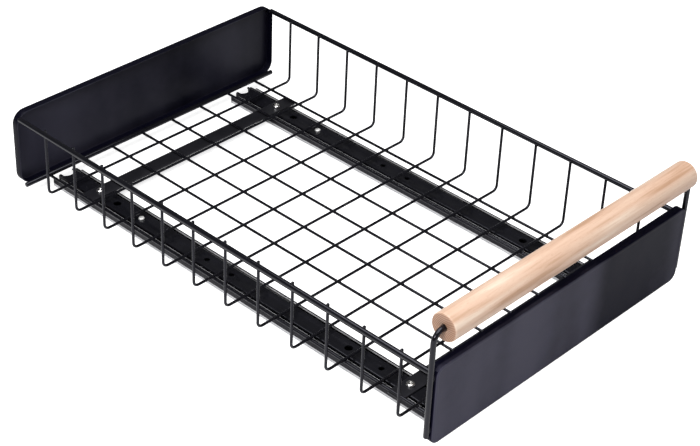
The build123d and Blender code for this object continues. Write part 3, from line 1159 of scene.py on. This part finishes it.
@dataclass
class WireGrid(SubAssembly):
    """The two layers of grid wires, the rails, the bottom rods and their welds."""

    wire_d: float = 2.5 * MM
    rail_d: float = 4.6 * MM
    rod_d: float = 4.4 * MM
    bend: float = 5.0 * MM
    rod_sides: int = 28
    rod_round: float = 0.5 * MM
    grid_bead: tuple[float, float, float] = (1.35 * MM, 1.35 * MM, 0.6 * MM)
    rail_bead: tuple[float, float, float] = (0.75 * MM, 1.5 * MM, 1.7 * MM)
    rim_bead: tuple[float, float, float] = (2.5 * MM, 1.1 * MM, 2.5 * MM)
    leg_bead: tuple[float, float, float] = (1.3 * MM, 2.0 * MM, 6.0 * MM)
    pinch_from: float = 0.8
    pinch: tuple[float, float, float] = (0.75, 0.75, 0.8)
    rim_inset: float = 0.7 * MM
    leg_off: float = 0.3 * MM
    leg_levels: tuple[float, float] = (6.5 * MM, 9.0 * MM)
    long_count: int = 8
    cross_count: int = 12

    def row(self, first: bpy.types.Object, name: str, node: str, count: int) -> None:
        """Copies the first wire of a row to every other place, and dresses them all.

        Args:
            first: the wire in the place of node 01.
            name: the pieces' name before the number.
            node: the nodes' name before the number.
            count: number of wires in the row.
        """
        start = middle(f"{node}_01")
        for i in range(2, count + 1):
            shift = Matrix.Translation(middle(f"{node}_{i:02d}") - start)
            twin = Bench.copy(first, f"{name}_{i:02d}", shift)
            self.settle(twin, Body.BASKET, Slot.WIRE, self.palette.wire, [f"{node}_{i:02d}"])
        self.settle(first, Body.BASKET, Slot.WIRE, self.palette.wire, [f"{node}_01"])

    def long_wires(self) -> None:
        """Models one straight wire and copies it to every place."""
        low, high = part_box("long_wire_01")
        centre = (low + high) / 2
        ends = [Vector((centre.x, y, centre.z)) for y in (low.y, high.y)]
        first = Bench.wire("wire_long_01", ends, self.bend, self.wire_d)
        self.row(first, "wire_long", "long_wire", self.long_count)

    def cross_wires(self) -> None:
        """Models one U-shaped wire and copies it to every place."""
        low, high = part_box("cross_wire_01")
        radius = self.wire_d / 2
        y = (low.y + high.y) / 2
        left, right, base = low.x + radius, high.x - radius, low.z + radius
        corners = ((left, high.z), (left, base), (right, base), (right, high.z))
        points = [Vector((x, y, z)) for x, z in corners]
        first = Bench.wire("wire_cross_01", points, self.bend, self.wire_d)
        self.row(first, "wire_cross", "cross_wire", self.cross_count)

    def straight(self, node: str, name: str, diameter: float, axis: int) -> None:
        """Models a straight round rod along one axis in the place of a node.

        Args:
            node: the construction node.
            name: the piece's name.
            diameter: the rod's diameter.
            axis: 0 for X, 1 for Y.
        """
        low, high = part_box(node)
        start = (low + high) / 2
        end = start.copy()
        start[axis], end[axis] = low[axis], high[axis]
        piece = Bench.wire(name, [start, end], self.bend, diameter, sides=self.rod_sides, end_round=self.rod_round)
        self.settle(piece, Body.BASKET, Slot.WIRE, self.palette.wire, [node])

    def bead(self, name: str, size: Sequence[float]) -> bpy.types.Object:
        """Models one weld bead at the origin: a squashed drop with a pinched rim.

        Args:
            name: the piece's name.
            size: half lengths in X, Y and Z.
        Returns:
            The bead.
        """
        Bench.clear()
        bpy.ops.mesh.primitive_ico_sphere_add(subdivisions=2, radius=1.0)
        obj = Bench.seat(bpy.context.object, name)
        Bench.edit(obj)
        Bench.pick(obj, Piece.VERTS, lambda c, n: abs(c.z) > self.pinch_from)
        bpy.ops.transform.resize(value=self.pinch)
        bpy.ops.mesh.select_all(action="SELECT")
        bpy.ops.transform.resize(value=tuple(size))
        Bench.done()
        Bench.smooth(obj, 80.0)
        return obj

    def cross_rows(self) -> list[float]:
        """The Y of every cross wire."""
        return [middle(f"cross_wire_{j:02d}").y for j in range(1, self.cross_count + 1)]

    def grid_welds(self) -> None:
        """Puts a flat weld at every crossing of the two layers."""
        master = self.bead("weld_grid", self.grid_bead)
        rows = self.cross_rows()
        places = []
        for i in range(1, self.long_count + 1):
            low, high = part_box(f"long_wire_{i:02d}")
            places += [Vector(((low.x + high.x) / 2, y, high.z)) for y in rows]
        self.scatter(master, places, "weld_grid")

    def rail_welds(self) -> None:
        """Puts a weld between each upright and its rail."""
        master = self.bead("weld_rail", self.rail_bead)
        rows = self.cross_rows()
        places = []
        for side in Side:
            low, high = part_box(f"{side.word}_top_rail")
            x = high.x if side is Side.LEFT else low.x
            places += [Vector((x, y, (low.z + high.z) / 2)) for y in rows]
        self.scatter(master, places, "weld_rail")

    def end_welds(self) -> None:
        """Puts a weld at each end of the rails and at both ends of the handle's legs."""
        master = self.bead("weld_rim", self.rim_bead)
        inset = self.rim_inset
        places = []
        for side in Side:
            low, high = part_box(f"{side.word}_top_rail")
            centre = (low + high) / 2
            places += [Vector((centre.x, y, centre.z)) for y in (low.y + inset, high.y - inset)]
        self.scatter(master, places, "weld_rim")
        low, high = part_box("handle_wire")
        panel_low, panel_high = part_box("front_panel")
        master = self.bead("weld_leg", self.leg_bead)
        off = self.leg_off
        y = (low.y + high.y) / 2
        levels = (low.z + self.leg_levels[0], panel_high.z - self.leg_levels[1])
        places = [Vector((x, y, z)) for x in (panel_low.x - off, panel_high.x + off) for z in levels]
        self.scatter(master, places, "weld_leg")

    def scatter(self, master: bpy.types.Object, places: Sequence[Vector], name: str) -> None:
        """Copies a bead to many places and joins the copies into one piece.

        Args:
            master: the bead at the origin.
            places: where the copies go.
            name: the joined piece's name.
        """
        copies = [Bench.copy(master, f"{name}_{k}", Matrix.Translation(p)) for k, p in enumerate(places)]
        bpy.data.objects.remove(master)
        self.settle(Bench.join(copies, name), Body.BASKET, Slot.WIRE, self.palette.wire)

    def build(self) -> None:
        """Builds and dresses the grid."""
        self.long_wires()
        self.cross_wires()
        for side in Side:
            self.straight(f"{side.word}_top_rail", f"rail_top_{side.word}", self.rail_d, 1)
        self.straight("front_bottom_rod", "rod_bottom_front", self.rod_d, 0)
        self.straight("rear_bottom_rod", "rod_bottom_rear", self.rod_d, 0)
        self.grid_welds()
        self.rail_welds()
        self.end_welds()


@dataclass
class EndPanel(SubAssembly):
    """One shallow pressed pan, open towards the basket."""

    node: str = "front_panel"
    name: str = "panel_front"
    face: int = -1
    finish: BakedCoat = Palette.panel
    sheet: float = 1.0 * MM
    corner: float = 12.0 * MM
    edge: float = 1.2 * MM
    border: float = 1.3 * MM
    sink: float = 0.15 * MM
    soft: float = 0.25 * MM
    ridge: tuple[tuple[float, float], ...] = ((0.3 * MM, 0.2), (0.4 * MM, 0.6), (0.3 * MM, 0.2))

    def build(self) -> None:
        """Presses the pan from a block and dresses it."""
        low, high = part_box(self.node)
        obj = Bench.block(self.name, low, high)
        face = self.face
        Bench.edit(obj)
        Bench.pick(obj, Piece.EDGES, lambda c, n: abs(n.y) > ALONG)
        bpy.ops.mesh.bevel(offset=self.corner, segments=12, affect="EDGES")
        edge_y = low.y if face < 0 else high.y
        Bench.pick(obj, Piece.EDGES, lambda c, n: abs(c.y - edge_y) < TOUCH and abs(n.y) < ACROSS)
        bpy.ops.mesh.bevel(offset=self.edge, segments=5, affect="EDGES")
        Bench.pick(obj, Piece.FACES, lambda c, n: n.y * face < -ALONG)
        bpy.ops.mesh.delete(type="FACE")
        Bench.pick(obj, Piece.FACES, lambda c, n: n.y * face > STRAIGHT)
        bpy.ops.mesh.inset(thickness=self.border)
        for width, share in self.ridge:
            bpy.ops.mesh.inset(thickness=width, depth=-share * self.sink)
        Bench.done()
        Bench.modify(obj, "SOLIDIFY", thickness=self.sheet, offset=-1.0, use_even_offset=True)
        Bench.soften(obj, self.soft, 2, 60.0)
        Bench.smooth(obj, CREASE)
        self.settle(obj, Body.BASKET, Slot.PANEL, self.finish, [self.node])


@dataclass
class Handle(SubAssembly):
    """The bent handle wire and its loose wooden grip."""

    wire_d: float = 4.5 * MM
    wire_sides: int = 32
    wire_round: float = 0.8 * MM
    bend: float = 9.0 * MM
    bend_steps: int = 12
    grip_sides: int = 64
    end_round: float = 1.6 * MM
    bore: float = 6.0 * MM
    bore_round: float = 0.4 * MM

    def handle_wire(self) -> None:
        """Bends the wire up both sides of the front panel."""
        low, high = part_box("handle_wire")
        radius = self.wire_d / 2
        y = (low.y + high.y) / 2
        left, right, top = low.x + radius, high.x - radius, high.z - radius
        corners = ((left, low.z), (left, top), (right, top), (right, low.z))
        points = [Vector((x, y, z)) for x, z in corners]
        shape = (self.bend, self.wire_d, self.wire_sides, self.bend_steps, self.wire_round)
        piece = Bench.wire("handle_wire_bent", points, *shape)
        self.settle(piece, Body.BASKET, Slot.WIRE, self.palette.wire, ["handle_wire"])

    def grip(self) -> None:
        """Turns the dowel: rounded rims, a bore from end to end."""
        low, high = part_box("wood_grip")
        centre = (low + high) / 2
        start = Vector((low.x, centre.y, centre.z))
        along = Vector((high.x - low.x, 0, 0))
        obj = Bench.round_bar("grip_beech", start, along, (high.z - low.z) / 2, self.grip_sides)
        Bench.edit(obj)
        Bench.pick(obj, Piece.EDGES, lambda c, n: abs(n.x) < ACROSS)
        bpy.ops.mesh.bevel(offset=self.end_round, segments=6, affect="EDGES")
        Bench.pick(obj, Piece.FACES, lambda c, n: math.hypot(c.y - centre.y, c.z - centre.z) < 0.1 * MM)
        rim = (high.z - low.z) / 2 - self.end_round
        bpy.ops.mesh.inset(thickness=rim - self.bore / 2 - self.bore_round, use_individual=True)
        bpy.ops.mesh.inset(thickness=self.bore_round, depth=-self.bore_round, use_individual=True)
        bpy.ops.mesh.bridge_edge_loops()
        Bench.done()
        Bench.face_out(obj)
        Bench.smooth(obj, CREASE)
        wood = TurnedBeech("beech", axis=(centre.y, centre.z))
        self.settle(obj, Body.GRIP, Slot.WOOD, wood, ["wood_grip"])

    def build(self) -> None:
        """Builds and dresses the handle."""
        self.handle_wire()
        self.grip()


@dataclass
class MountBars(SubAssembly):
    """The two flat bars under the grid, and the screws through them."""

    corner: float = 2.0 * MM
    edge: float = 0.3 * MM
    head_d: float = 7.4 * MM
    head_sides: int = 40
    head_h: float = 2.3 * MM
    crown: float = 1.5 * MM
    shank_d: float = 4.0 * MM
    recess: float = 4.4 * MM
    recess_w: float = 1.0 * MM
    recess_depth: float = 1.2 * MM
    recess_taper: tuple[float, float, float] = (0.45, 0.7, 1.0)
    tip_round: float = 0.5 * MM
    soft: float = 0.08 * MM

    def bar(self, node: str, name: str) -> None:
        """Shapes one flat bar.

        Args:
            node: the construction node.
            name: the piece's name.
        """
        low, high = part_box(node)
        obj = Bench.block(name, low, high)
        Bench.edit(obj)
        Bench.pick(obj, Piece.EDGES, lambda c, n: abs(n.z) > ALONG)
        bpy.ops.mesh.bevel(offset=self.corner, segments=5, affect="EDGES")
        Bench.pick(obj, Piece.EDGES, lambda c, n: abs(n.z) < ACROSS)
        bpy.ops.mesh.bevel(offset=self.edge, segments=3, affect="EDGES")
        Bench.done()
        Bench.smooth(obj, FOLD_CREASE)
        self.settle(obj, Body.BASKET, Slot.BAR, self.palette.bar, [node])

    def screw(self, spot: Vector, top: float, bottom: float) -> bpy.types.Object:
        """Shapes one pan-head screw.

        Args:
            spot: the screw's axis, at any height.
            top: height of the head's top.
            bottom: height of the tip.
        Returns:
            The screw.
        """
        seat = top - self.head_h
        start = Vector((spot.x, spot.y, seat))
        rise = Vector((0, 0, self.head_h))
        head = Bench.round_bar("screw_head", start, rise, self.head_d / 2, self.head_sides)
        Bench.edit(head)
        Bench.pick(head, Piece.EDGES, lambda c, n: abs(c.z - top) < TOUCH)
        bpy.ops.mesh.bevel(offset=self.crown, segments=6, affect="EDGES")
        Bench.pick(head, Piece.FACES, lambda c, n: n.z < -ALONG)
        bpy.ops.mesh.inset(thickness=(self.head_d - self.shank_d) / 2)
        bpy.ops.mesh.extrude_region_move(TRANSFORM_OT_translate={"value": (0, 0, bottom - seat)})
        Bench.pick(head, Piece.EDGES, lambda c, n: abs(c.z - bottom) < TOUCH)
        bpy.ops.mesh.bevel(offset=self.tip_round, segments=2, affect="EDGES")
        Bench.done()
        for turn in (45.0, 135.0):
            half = Vector((self.recess / 2, self.recess_w / 2, self.recess_depth))
            arm = Bench.block("screw_recess", -half, half)
            Bench.edit(arm)
            Bench.pick(arm, Piece.FACES, lambda c, n: n.z < -ALONG)
            bpy.ops.transform.resize(value=self.recess_taper)
            Bench.done()
            place = Matrix.Translation((spot.x, spot.y, top))
            arm.data.transform(place @ Matrix.Rotation(math.radians(turn), 4, "Z"))
            Bench.cut(head, arm)
        Bench.soften(head, self.soft, 2, 30.0)
        Bench.smooth(head, FOLD_CREASE)
        return head

    def screws(self) -> None:
        """Copies one screw to the four corners."""
        low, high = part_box("bar_screws")
        radius = self.head_d / 2
        rows = (low.y + radius, high.y - radius)
        spots = [Vector((x, y, 0)) for x in (low.x + radius, high.x - radius) for y in rows]
        first = self.screw(spots[0], high.z, low.z)
        moves = [Matrix.Translation(spot - spots[0]) for spot in spots[1:]]
        copies = [Bench.copy(first, f"screw_{k}", move) for k, move in enumerate(moves)]
        joined = Bench.join([first, *copies], "screws_pan_head")
        self.settle(joined, Body.BASKET, Slot.SCREW, self.palette.screw, ["bar_screws"])

    def build(self) -> None:
        """Builds and dresses the bars and screws."""
        self.bar("front_mount_bar", "bar_front")
        self.bar("rear_mount_bar", "bar_rear")
        self.screws()
        self.palette.screw.dress(bpy.data.objects["bar_nuts"])


@dataclass
class Slide(SubAssembly):
    """One ball-bearing slide lying flat: its fixed and its moving member."""

    side: Side = Side.LEFT
    outer_t: float = 1.0 * MM
    lip: float = 1.6 * MM
    lip_trim: float = 10.0 * MM
    end_round: float = 3.0 * MM
    inner_t: float = 1.2 * MM
    inner_w: float = 17.0 * MM
    inner_lip: float = 1.3 * MM
    outer_bend: float = 1.15 * MM
    inner_bend: float = 0.9 * MM
    outer_soft: float = 0.12 * MM
    inner_soft: float = 0.15 * MM
    sharpest: float = 0.5
    reach: float = 3.0 * MM
    hole_sides: int = 32
    notch_r: float = 8.6 * MM
    notch_w: float = 12.4 * MM
    notch_depth: float = 7.0 * MM
    notch_reach: float = 2.0 * MM
    notch_sides: int = 48
    centre_y: float = 4.425 * MM
    fix_d: float = 4.6 * MM
    access_d: float = 7.0 * MM
    spare_d: float = 5.0 * MM
    rivet_d: float = 3.0 * MM
    fix_holes: tuple[float, ...] = (161.0 * MM, -119.0 * MM)
    spare_holes: tuple[float, ...] = (45.4 * MM, 15.6 * MM, -154.2 * MM)
    rivet_hole: tuple[float, ...] = (129.0 * MM,)
    stop_w: float = 8.0 * MM
    stop_t: float = 1.0 * MM
    stop_foot: float = 0.9 * MM
    stop_top: float = 3.4 * MM
    stop_inset: float = 2.0 * MM
    stop_round: float = 0.9 * MM
    stop_rim: float = 0.4 * MM

    def strip(self, name: str, low: Vector, high: Vector, z: float) -> bpy.types.Object:
        """A flat strip, the start of a rolled channel.

        Args:
            name: the object's name.
            low: lowest corner in X and Y.
            high: highest corner in X and Y.
            z: its height.
        Returns:
            The strip.
        """
        Bench.clear()
        bpy.ops.mesh.primitive_plane_add(size=1, location=((low.x + high.x) / 2, (low.y + high.y) / 2, z))
        obj = bpy.context.object
        obj.scale = (high.x - low.x, high.y - low.y, 1)
        return Bench.seat(obj, name)

    def fold(self, obj: bpy.types.Object, x: float, z: float, moves: Sequence[tuple[float, float]]) -> None:
        """Folds flanges up from one long edge of a strip, one after another.

        Args:
            obj: the object in edit mode.
            x: the edge's X.
            z: the edge's Z.
            moves: steps in X and Z.
        """
        Bench.pick(
            obj, Piece.EDGES, lambda c, n: max(abs(c.x - x), abs(c.z - z)) < TOUCH and abs(n.y) > ALONG
        )
        for step_x, step_z in moves:
            bpy.ops.mesh.extrude_region_move(TRANSFORM_OT_translate={"value": (step_x, 0, step_z)})

    def round_bends(self, obj: bpy.types.Object, radius: float) -> None:
        """Rounds every bend line of an open channel.

        Args:
            obj: the object in edit mode.
            radius: the outer radius of the bends.
        """
        bpy.ops.mesh.select_mode(type=Piece.EDGES.value)
        bpy.ops.mesh.select_all(action="DESELECT")
        mesh = bmesh.from_edit_mesh(obj.data)
        for edge in mesh.edges:
            if len(edge.link_faces) == 2 and edge.calc_face_angle() > self.sharpest:
                edge.select_set(True)
        bmesh.update_edit_mesh(obj.data)
        bpy.ops.mesh.bevel(offset=radius, segments=4, affect="EDGES")

    def drill(self, obj: bpy.types.Object, x: float, diameter: float, rows: Sequence[float], z: float) -> None:
        """Drills a row of holes.

        Args:
            obj: the member.
            x: the row's X.
            diameter: the holes' diameter.
            rows: the holes' Y.
            z: height of the web.
        """
        for y in rows:
            start = Vector((x, y + self.centre_y, z - self.reach))
            through = Vector((0, 0, 2 * self.reach))
            Bench.cut(obj, Bench.round_bar("drill", start, through, diameter / 2, self.hole_sides))

    def outer_member(self) -> None:
        """Rolls the fixed member: a wide channel with its lips turned in."""
        node = f"{self.side.word}_outer_member"
        low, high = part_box(node)
        x = (low.x + high.x) / 2
        obj = self.strip(f"slide_outer_{self.side.word}", low, high, low.z)
        rise = high.z - low.z
        lip = self.outer_t + self.lip
        Bench.edit(obj)
        self.fold(obj, low.x, low.z, [(0, rise), (lip, 0)])
        self.fold(obj, high.x, low.z, [(0, rise), (-lip, 0)])
        self.round_bends(obj, self.outer_bend)
        bpy.ops.mesh.select_all(action="SELECT")
        bpy.ops.mesh.normals_make_consistent(inside=False)
        Bench.done()
        self.thicken(obj, self.outer_t, Vector((x, 0, (low.z + high.z) / 2)))
        over = Vector((MM, MM, MM))
        trim_low = Vector((low.x - MM, high.y - self.lip_trim, high.z - lip))
        Bench.cut(obj, Bench.block("trim", trim_low, high + over))
        plan = Bench.block("plan", Vector((low.x, low.y, low.z - MM)), Vector((high.x, high.y, high.z + MM)))
        Bench.edit(plan)
        Bench.pick(plan, Piece.EDGES, lambda c, n: abs(n.z) > ALONG)
        bpy.ops.mesh.bevel(offset=self.end_round, segments=8, affect="EDGES")
        Bench.done()
        Bench.cut(obj, plan, keep_inside=True)
        self.drill(obj, x, self.fix_d, self.fix_holes, low.z)
        self.add_stop(obj, x, low)
        Bench.soften(obj, self.outer_soft, 2, CREASE)
        Bench.smooth(obj, FOLD_CREASE)
        # The fixed member's coat carries a painted reflection low on its walls and painted highlight lines along
        # its lips.
        plain = self.palette.slide
        name = f"slide_black_worn_{self.side.word}"
        coat = GlintPaintedCoat(name, tint=plain.tint, relief=plain.relief, gloss=plain.gloss, centre=x)
        self.settle(obj, Body.BASES, Slot.SLIDE, coat, [node])

    def add_stop(self, obj: bpy.types.Object, x: float, low: Vector) -> None:
        """Adds the bent-up stop at the front end.

        Args:
            obj: the fixed member.
            x: the stop's X.
            low: lowest corner of the member.
        """
        half = self.stop_w / 2
        front = low.y + self.stop_inset
        top = low.z + self.stop_top
        corner = Vector((x - half, front, low.z + self.stop_foot))
        tab = Bench.block("stop", corner, Vector((x + half, front + self.stop_t, top)))
        Bench.edit(tab)
        Bench.pick(tab, Piece.EDGES, lambda c, n: abs(n.y) > ALONG and c.z > top - self.stop_rim)
        bpy.ops.mesh.bevel(offset=self.stop_round, segments=4, affect="EDGES")
        Bench.done()
        Bench.modify(obj, "BOOLEAN", object=tab, operation="UNION", solver="EXACT")
        bpy.data.objects.remove(tab)

    def inner_member(self) -> None:
        """Rolls the moving member: a narrow channel over the balls with a notched rear end."""
        node = f"{self.side.word}_inner_member"
        low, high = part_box(node)
        x = (low.x + high.x) / 2
        half = self.inner_w / 2
        web_low = Vector((x - half, low.y, 0))
        web_high = Vector((x + half, high.y, 0))
        obj = self.strip(f"slide_inner_{self.side.word}", web_low, web_high, high.z)
        drop = low.z + self.inner_t - high.z
        foot = self.inner_lip
        Bench.edit(obj)
        self.fold(obj, x - half, high.z, [(0, drop), (-foot, 0)])
        self.fold(obj, x + half, high.z, [(0, drop), (foot, 0)])
        self.round_bends(obj, self.inner_bend)
        Bench.done()
        self.thicken(obj, self.inner_t, Vector((x, 0, low.z)))
        centre = Vector((x, high.y - self.notch_depth + self.notch_r, high.z - self.notch_reach))
        through = Vector((0, 0, 2 * self.notch_reach))
        notch = Bench.round_bar("notch", centre, through, self.notch_r, self.notch_sides)
        sides = Bench.block(
            "notch_sides",
            Vector((x - self.notch_w / 2, high.y - 3 * self.notch_r, high.z - self.reach)),
            Vector((x + self.notch_w / 2, high.y + 3 * self.notch_r, high.z + self.reach)),
        )
        Bench.cut(notch, sides, keep_inside=True)
        Bench.cut(obj, notch)
        self.drill(obj, x, self.access_d, self.fix_holes, high.z)
        self.drill(obj, x, self.spare_d, self.spare_holes, high.z)
        self.drill(obj, x, self.rivet_d, self.rivet_hole, high.z)
        Bench.soften(obj, self.inner_soft, 2, CREASE)
        Bench.smooth(obj, FOLD_CREASE)
        self.settle(obj, Body.BASKET, Slot.SLIDE, self.palette.slide, [node])

    def thicken(self, obj: bpy.types.Object, sheet: float, heart: Vector) -> None:
        """Gives a folded strip its thickness towards the channel's inside.

        Args:
            obj: the folded strip.
            sheet: the sheet's thickness.
            heart: a point inside the channel.
        """
        web = max(obj.data.polygons, key=lambda p: p.area)
        outward = (web.center - heart).dot(web.normal) > 0
        Bench.modify(obj, "SOLIDIFY", thickness=sheet, offset=-1.0 if outward else 1.0, use_even_offset=True)
        Bench.face_out(obj)

    def build(self) -> None:
        """Builds and dresses the slide."""
        self.outer_member()
        self.inner_member()
        self.palette.cage.dress(bpy.data.objects[f"{self.side.word}_ball_cage"])
        self.palette.ball.dress(bpy.data.objects[f"{self.side.word}_balls"])


@dataclass
class Rivets(SubAssembly):
    """The low-domed rivets in the webs of the two moving members."""

    head_d: float = 5.4 * MM
    head_h: float = 1.1 * MM
    crown: float = 0.9 * MM
    web_t: float = 1.2 * MM
    shank_d: float = 3.0 * MM
    tail_d: float = 4.4 * MM
    tail_round: float = 0.25 * MM
    sides: int = 36

    def rivet(self, seat: Vector, bottom: float) -> bpy.types.Object:
        """Shapes one rivet from its tail up.

        Args:
            seat: the middle of the underside of its head.
            bottom: height of the tail's end.
        Returns:
            The rivet.
        """
        tail = Vector((0, 0, seat.z - self.web_t - bottom))
        obj = Bench.round_bar("rivet", Vector((seat.x, seat.y, bottom)), tail, self.tail_d / 2, self.sides)
        Bench.edit(obj)
        Bench.pick(obj, Piece.FACES, lambda c, n: n.z > ALONG)
        bpy.ops.mesh.inset(thickness=(self.tail_d - self.shank_d) / 2)
        bpy.ops.mesh.extrude_region_move(TRANSFORM_OT_translate={"value": (0, 0, self.web_t)})
        spread = self.head_d / self.shank_d
        bpy.ops.mesh.extrude_region_move(TRANSFORM_OT_translate={"value": (0, 0, 0)})
        bpy.ops.transform.resize(value=(spread, spread, 1.0))
        bpy.ops.mesh.extrude_region_move(TRANSFORM_OT_translate={"value": (0, 0, self.head_h)})
        top = seat.z + self.head_h
        Bench.pick(obj, Piece.EDGES, lambda c, n: abs(c.z - top) < TOUCH)
        bpy.ops.mesh.bevel(offset=self.crown, segments=6, affect="EDGES")
        Bench.pick(obj, Piece.EDGES, lambda c, n: abs(c.z - bottom) < TOUCH)
        bpy.ops.mesh.bevel(offset=self.tail_round, segments=2, affect="EDGES")
        Bench.done()
        Bench.smooth(obj, CREASE)
        return obj

    def build(self) -> None:
        """Builds one rivet, copies it to the other member and dresses the pair."""
        low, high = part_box("slide_rivets")
        radius = self.head_d / 2
        y = (low.y + high.y) / 2
        left, right = (Vector((x, y, high.z - self.head_h)) for x in (low.x + radius, high.x - radius))
        first = self.rivet(left, low.z)
        twin = Bench.copy(first, "rivet_right", Matrix.Translation(right - left))
        pair = Bench.join([first, twin], "rivets_domed")
        self.settle(pair, Body.BASKET, Slot.SCREW, self.palette.rivet, ["slide_rivets"])


# ---------------------------------------------------------------- studio


@dataclass(frozen=True)
class Lamp:
    """A soft square lamp: where it hangs, what it points at, its side and its power."""

    name: str
    place: tuple[float, float, float]
    aim: tuple[float, float, float]
    size: float
    watts: float


@dataclass
class Studio:
    """The floor, the soft light and the camera of the photograph."""

    palette: Palette
    floor_size: float = 12.0
    eye: tuple[float, float, float] = (-0.927792, -0.857899, 0.880035)
    right: tuple[float, float, float] = (0.69220941, -0.72071192, 0.037689)
    up: tuple[float, float, float] = (0.38374334, 0.4117904, 0.82654081)
    back: tuple[float, float, float] = (-0.61121778, -0.55767642, 0.56161359)
    lens: float = 91.973
    sensor: float = 36.0
    clip: tuple[float, float] = (0.05, 30.0)
    even_light: float = 0.1
    lamps: tuple[Lamp, ...] = (
        Lamp("overhead", (-0.3, -0.2, 2.2), (0, 0, 0), 2.4, 70.0),
        Lamp("side", (-2.2, -0.5, 1.3), (0, 0, 0.05), 0.7, 26.0),
    )

    def floor(self) -> None:
        """Lays the pale floor."""
        Bench.clear()
        bpy.ops.mesh.primitive_plane_add(size=self.floor_size, location=(0, 0, 0))
        floor = Bench.seat(bpy.context.object, "floor")
        Bench.edit(floor)
        bpy.ops.mesh.select_all(action="SELECT")
        bpy.ops.mesh.subdivide(number_cuts=4)
        Bench.done()
        self.palette.ground.dress(floor)

    def camera(self) -> None:
        """Sets the camera where the photograph was taken."""
        data = bpy.data.cameras.new("view")
        data.sensor_width = self.sensor
        data.sensor_fit = "HORIZONTAL"
        data.lens = self.lens
        data.clip_start, data.clip_end = self.clip
        camera = bpy.data.objects.new("view", data)
        turn = Matrix((self.right, self.up, self.back)).transposed().to_4x4()
        camera.matrix_world = Matrix.Translation(self.eye) @ turn
        bpy.context.scene.collection.objects.link(camera)
        bpy.context.scene.camera = camera

    def hang(self, lamp: Lamp) -> None:
        """Hangs one lamp.

        Args:
            lamp: the lamp's place, aim, size and power.
        """
        data = bpy.data.lights.new(lamp.name, "AREA")
        data.shape = "SQUARE"
        data.size = lamp.size
        data.energy = lamp.watts
        hung = bpy.data.objects.new(lamp.name, data)
        direction = Vector(lamp.aim) - Vector(lamp.place)
        hung.rotation_euler = direction.to_track_quat("-Z", "Y").to_euler()
        hung.location = lamp.place
        bpy.context.scene.collection.objects.link(hung)

    def world(self) -> None:
        """Surrounds the basket with weak even light behind a pale backdrop."""
        world = bpy.data.worlds.new("surroundings")
        bpy.context.scene.world = world
        world.use_nodes = True
        background = world.node_tree.nodes["Background"]
        background.inputs["Color"].default_value = (1.0, 1.0, 1.0, 1.0)
        graph = Graph(world.node_tree)
        seen = graph.node("ShaderNodeLightPath").outputs["Is Camera Ray"]
        backdrop = graph.math("MULTIPLY", seen, 1.0 - self.even_light)
        graph.link(graph.math("ADD", backdrop, self.even_light), background.inputs["Strength"])

    def build(self) -> None:
        """Sets up the floor, light and camera."""
        self.floor()
        self.camera()
        self.world()
        for lamp in self.lamps:
            self.hang(lamp)
        settings = bpy.context.scene.view_settings
        settings.view_transform = "Standard"
        settings.look = "None"
        LOG.info("studio set")


def main() -> None:
    """Builds every sub-assembly in order round the loaded model."""
    logging.basicConfig(level=logging.INFO, format="%(name)s: %(message)s")
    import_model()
    palette = Palette()
    WireGrid(palette).build()
    EndPanel(palette, finish=palette.front, corner=8.0 * MM).build()
    EndPanel(palette, node="rear_panel", name="panel_rear", face=1, finish=palette.panel).build()
    Handle(palette).build()
    MountBars(palette).build()
    for side in Side:
        Slide(palette, side=side).build()
    Rivets(palette).build()
    Studio(palette).build()


if __name__ == "__main__":
    main()
